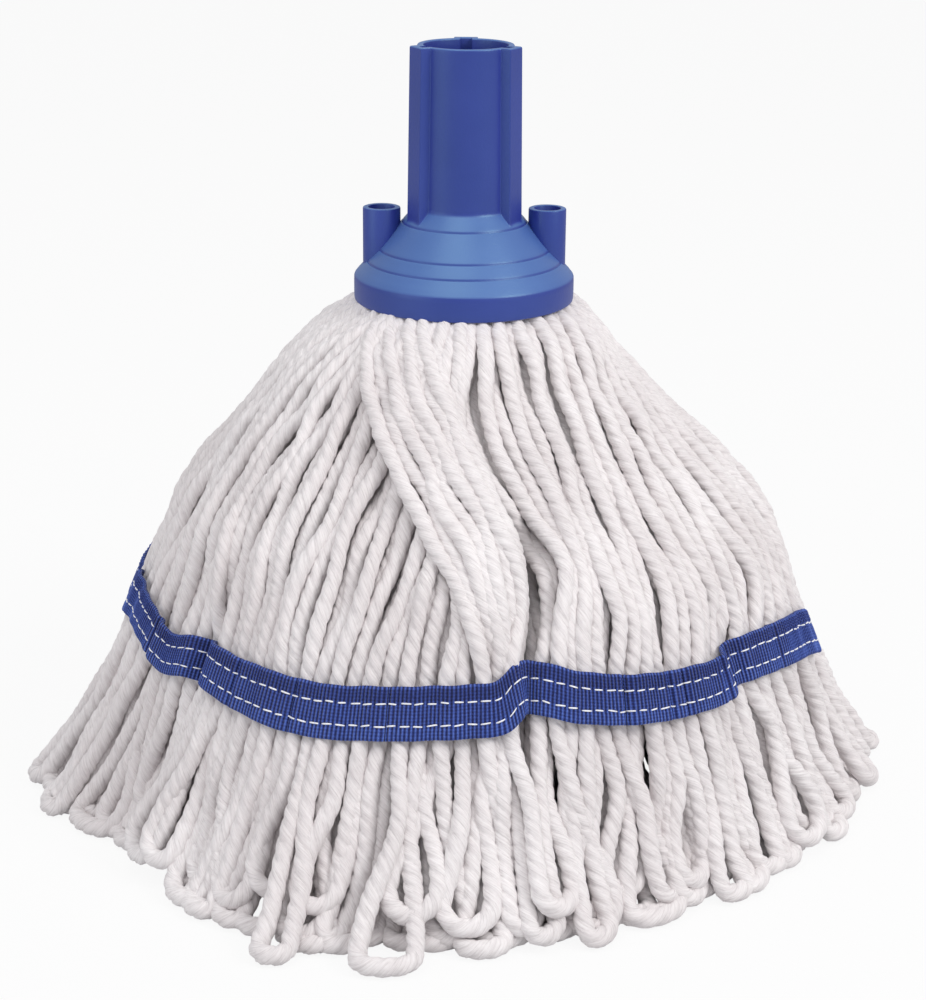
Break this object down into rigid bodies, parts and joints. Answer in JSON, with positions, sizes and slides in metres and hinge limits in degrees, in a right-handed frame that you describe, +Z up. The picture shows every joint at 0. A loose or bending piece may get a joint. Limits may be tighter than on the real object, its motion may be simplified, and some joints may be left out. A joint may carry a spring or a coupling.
{
  "type": "string mop head",
  "caption": "Mop head: a plastic handle socket over front and rear skirts of looped cotton yarn, each sewn between woven tapes, around an inner yarn layer gripped by a clamp plate.",
  "frame": {"origin": "centre of the bounding box at the floor, on the handle's axis", "axes": "+Z up along the handle's axis, -Y is the front of the mop, +X to the right seen from the front"},
  "size_m": [0.309, 0.309, 0.257],
  "materials": {
    "blue_plastic": "satin",
    "cotton_yarn": "matte",
    "blue_webbing": "matte",
    "white_thread": "matte"
  },
  "bodies": {
    "head": {"clamp_plate": "blue_plastic", "front_folded_yarn": "cotton_yarn", "front_inner_layer_tape": "blue_webbing", "inner_yarn_1": "cotton_yarn", "inner_yarn_10": "cotton_yarn", "inner_yarn_11": "cotton_yarn", "inner_yarn_12": "cotton_yarn", "inner_yarn_2": "cotton_yarn", "inner_yarn_3": "cotton_yarn", "inner_yarn_4": "cotton_yarn", "inner_yarn_5": "cotton_yarn", "inner_yarn_6": "cotton_yarn", "inner_yarn_7": "cotton_yarn", "inner_yarn_8": "cotton_yarn", "inner_yarn_9": "cotton_yarn", "left_clamp_pin": "blue_plastic", "left_post": "blue_plastic", "rear_folded_yarn": "cotton_yarn", "rear_inner_layer_tape": "blue_webbing", "right_clamp_pin": "blue_plastic", "right_post": "blue_plastic", "socket": "blue_plastic"},
    "front_skirt": {"front_inner_tape": "blue_webbing", "front_lower_stitching": "white_thread", "front_outer_tape": "blue_webbing", "front_upper_stitching": "white_thread", "front_yarn_1": "cotton_yarn", "front_yarn_2": "cotton_yarn", "front_yarn_3": "cotton_yarn", "front_yarn_4": "cotton_yarn", "front_yarn_5": "cotton_yarn", "front_yarn_6": "cotton_yarn", "front_yarn_7": "cotton_yarn", "front_yarn_8": "cotton_yarn"},
    "rear_skirt": {"rear_inner_tape": "blue_webbing", "rear_lower_stitching": "white_thread", "rear_outer_tape": "blue_webbing", "rear_upper_stitching": "white_thread", "rear_yarn_1": "cotton_yarn", "rear_yarn_2": "cotton_yarn", "rear_yarn_3": "cotton_yarn", "rear_yarn_4": "cotton_yarn", "rear_yarn_5": "cotton_yarn", "rear_yarn_6": "cotton_yarn", "rear_yarn_7": "cotton_yarn", "rear_yarn_8": "cotton_yarn"}
  },
  "joints": [
    {"name": "front_skirt_swing", "type": "hinge", "parent": "head", "child": "front_skirt", "pos_m": [0, -0.035, 0.17], "axis": [-1, 0, 0], "range_deg": [0, 35]},
    {"name": "rear_skirt_swing", "type": "hinge", "parent": "head", "child": "rear_skirt", "pos_m": [0, 0.035, 0.17], "axis": [1, 0, 0], "range_deg": [0, 35]}
  ]
}
